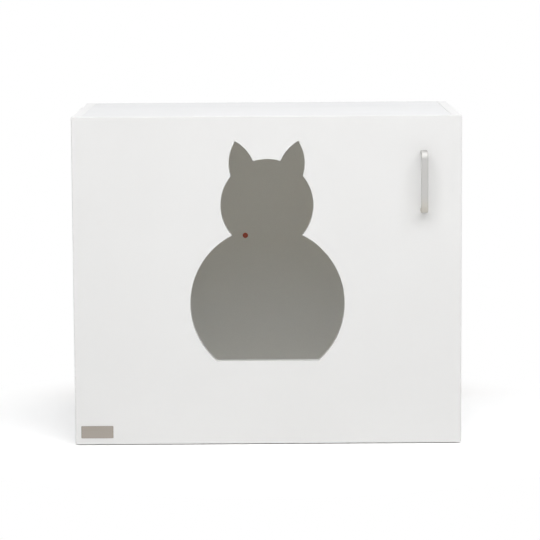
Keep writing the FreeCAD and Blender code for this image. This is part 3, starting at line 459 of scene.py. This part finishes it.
def eased_copy(node, body, name, ease):
    """Copy of a board with its sharp edges eased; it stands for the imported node."""
    mesh = NODES[node].data.copy()
    mesh.name = name
    work = bmesh.new()
    work.from_mesh(mesh)
    bmesh.ops.remove_doubles(work, verts=work.verts, dist=WELD)
    bmesh.ops.dissolve_limit(work, angle_limit=FLAT_ANGLE, verts=work.verts, edges=work.edges)
    if node == "top_panel":
        open_seams(work)
    sharp = [edge for edge in work.edges
             if len(edge.link_faces) == 2 and edge.calc_face_angle(0) > EASE_ANGLE
             and not (body == "carcass" and under_band(edge))]
    bmesh.ops.bevel(work, geom=sharp, offset=ease, offset_type="OFFSET", segments=EASE_STEPS,
                    profile=0.5, affect="EDGES", clamp_overlap=True)
    low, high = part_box(node)
    for vert in work.verts:
        vert.co = [min(max(value, least), most) for value, least, most in zip(vert.co, low, high)]
    work.normal_update()
    work.to_mesh(mesh)
    work.free()
    if mesh.has_custom_normals:
        mesh.normals_split_custom_set([(0, 0, 0)] * len(mesh.loops))
    for face in mesh.polygons:
        face.use_smooth = True
    mesh.set_sharp_from_angle(angle=SMOOTH_ANGLE)
    piece = bpy.data.objects.new(name, mesh)
    bpy.context.scene.collection.objects.link(piece)
    flat = piece.modifiers.new("flat_faces", "WEIGHTED_NORMAL")
    flat.mode = "FACE_AREA"
    flat.weight = FLAT_WEIGHT
    flat.keep_sharp = True
    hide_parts(node)
    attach(piece, body)
    return piece


def under_band(edge):
    """True for an edge of a carcass board that an edge strip covers, in front or on top."""
    behind_front_band = all(vert.co.y < BAND_BACK + WELD for vert in edge.verts)
    below_top_band = all(vert.co.z > BAND_UNDERSIDE - WELD and abs(vert.co.x) > ROOM_HALF - WELD
                         for vert in edge.verts)
    return behind_front_band or below_top_band


def open_seams(work):
    """Leave a hair's breadth between the top panel and the two sides, as the photograph shows."""
    for vert in work.verts:
        if vert.co.x < -ROOM_HALF + WELD:
            vert.co.x += TOP_SEAM_LEFT
        elif vert.co.x > ROOM_HALF - WELD:
            vert.co.x -= TOP_SEAM_RIGHT


def eased_boards():
    for node, body, slot, ease in (
            ("left_side_panel", "carcass", "white_board", BOARD_EASE),
            ("right_side_panel", "carcass", "white_board", BOARD_EASE),
            ("top_panel", "carcass", "white_board", BOARD_EASE),
            ("bottom_panel", "carcass", "white_board", BOARD_EASE),
            ("door_panel", "door", "door_lacquer", DOORWAY_EASE)):
        eased_copy(node, body, node + "_eased", ease)


# =========================== light, floor and camera ===========================

def area_light(name, place, aim, size, power, glossy=True, diffuse=True):
    """Rectangular soft light: size is (width, height); the last two say what shows it."""
    data = bpy.data.lights.new(name, "AREA")
    data.shape = "RECTANGLE"
    data.size, data.size_y = size
    data.energy = power
    light = bpy.data.objects.new(name, data)
    light.location = place
    light.rotation_euler = (Vector(aim) - Vector(place)).to_track_quat("-Z", "Y").to_euler()
    light.visible_camera = False
    light.visible_glossy = glossy
    light.visible_diffuse = diffuse
    bpy.context.scene.collection.objects.link(light)


def lights():
    middle = (0, -0.1, 0.28)
    area_light("high_front", (0.25, -2.14, 2.32), middle, (4.4, 1.4), 70, glossy=False)
    area_light("glint", (0.3, -1.60, 1.65), (0.26, -0.22, 0.45), (0.7, 2.2), 8, diffuse=False)
    area_light("overhead", (0.1, -0.2, 2.6), middle, (2.6, 2.0), 15.5)
    area_light("behind", (0, 3.0, 2.0), middle, (4.0, 1.6), 18, glossy=False)
    for side in (-1, 1):
        area_light("side_%d" % side, (side * 3.2, 0.6, 1.5), middle, (2.4, 1.6), 14)


def seen_rays(tree):
    """1 for rays from the camera, off gloss and through clear stuff; 0 for diffuse light."""
    path = tree.nodes.new("ShaderNodeLightPath")
    total = None
    for name in ("Is Camera Ray", "Is Glossy Ray", "Is Transmission Ray"):
        if total is None:
            total = path.outputs[name]
            continue
        step = tree.nodes.new("ShaderNodeMath")
        step.operation = "MAXIMUM"
        tree.links.new(total, step.inputs[0])
        tree.links.new(path.outputs[name], step.inputs[1])
        total = step.outputs["Value"]
    return total


def world():
    """Plain white where it is seen, softer as light."""
    sky = bpy.data.worlds.new("studio")
    sky.use_nodes = True
    bpy.context.scene.world = sky
    tree = sky.node_tree
    tree.nodes.clear()
    end = tree.nodes.new("ShaderNodeOutputWorld")
    mix = tree.nodes.new("ShaderNodeMixShader")
    tree.links.new(seen_rays(tree), mix.inputs["Fac"])
    for socket, level in ((1, WORLD_LEVEL), (2, 1.0)):
        glow = tree.nodes.new("ShaderNodeBackground")
        glow.inputs["Color"].default_value = (1, 1, 1, 1)
        glow.inputs["Strength"].default_value = level
        tree.links.new(glow.outputs["Background"], mix.inputs[socket])
    tree.links.new(mix.outputs["Shader"], end.inputs["Surface"])


def floor():
    """Pale floor: it takes the cabinet's shadow nearby and runs out into white further off."""
    half = FLOOR_SIZE / 2
    mesh = bpy.data.meshes.new("floor")
    corners = [(-half, -half), (half, -half), (half, half), (-half, half)]
    mesh.from_pydata([(x, y, -FLOOR_DROP) for x, y in corners], [], [(0, 1, 2, 3)])
    plane = bpy.data.objects.new("floor", mesh)
    bpy.context.scene.collection.objects.link(plane)
    material = bpy.data.materials.new("floor")
    material.use_nodes = True
    tree = material.node_tree
    tree.nodes.clear()
    end = tree.nodes.new("ShaderNodeOutputMaterial")
    mix = tree.nodes.new("ShaderNodeMixShader")
    matt = tree.nodes.new("ShaderNodeBsdfDiffuse")
    tint = tree.nodes.new("ShaderNodeMix")
    tint.data_type = "RGBA"
    tint.inputs["A"].default_value = FLOOR_COLOUR
    tint.inputs["B"].default_value = FLOOR_SEEN
    rays = seen_rays(tree)
    tree.links.new(rays, tint.inputs["Factor"])
    tree.links.new(tint.outputs["Result"], matt.inputs["Color"])
    glow = tree.nodes.new("ShaderNodeEmission")
    glow.inputs["Strength"].default_value = 1.0
    place = tree.nodes.new("ShaderNodeTexCoord")
    length = tree.nodes.new("ShaderNodeVectorMath")
    length.operation = "LENGTH"
    tree.links.new(place.outputs["Object"], length.inputs[0])
    far = tree.nodes.new("ShaderNodeMapRange")
    far.interpolation_type = "SMOOTHSTEP"
    far.inputs["From Min"].default_value = SHADOW_REACH[0]
    far.inputs["From Max"].default_value = SHADOW_REACH[1]
    tree.links.new(length.outputs["Value"], far.inputs["Value"])
    seen = tree.nodes.new("ShaderNodeMath")
    seen.operation = "MULTIPLY"
    tree.links.new(rays, seen.inputs[0])
    tree.links.new(far.outputs["Result"], seen.inputs[1])
    tree.links.new(seen.outputs["Value"], mix.inputs["Fac"])
    tree.links.new(matt.outputs["BSDF"], mix.inputs[1])
    tree.links.new(glow.outputs["Emission"], mix.inputs[2])
    tree.links.new(mix.outputs["Shader"], end.inputs["Surface"])
    mesh.materials.append(material)


def camera():
    """Camera from the fitted place and three turns, with no shift."""
    data = bpy.data.cameras.new("camera")
    data.sensor_width = CAMERA_SENSOR
    data.lens = CAMERA_LENS
    forward = Vector((math.sin(CAMERA_YAW) * math.cos(CAMERA_PITCH),
                      math.cos(CAMERA_YAW) * math.cos(CAMERA_PITCH), -math.sin(CAMERA_PITCH)))
    right = Vector((math.cos(CAMERA_YAW), -math.sin(CAMERA_YAW), 0))
    down = forward.cross(right)
    image_x = right * math.cos(CAMERA_ROLL) + down * math.sin(CAMERA_ROLL)
    image_y = down * math.cos(CAMERA_ROLL) - right * math.sin(CAMERA_ROLL)
    turn = Matrix((image_x, -image_y, -forward)).transposed().to_4x4()
    eye = bpy.data.objects.new("camera", data)
    bpy.context.scene.collection.objects.link(eye)
    eye.matrix_world = Matrix.Translation(CAMERA_PLACE) @ turn
    bpy.context.scene.camera = eye


dress_nodes(finishes())
eased_boards()
world()
floor()
lights()
camera()
bpy.context.scene.cycles.diffuse_bounces = DIFFUSE_BOUNCES
bpy.context.scene.view_settings.view_transform = "Standard"
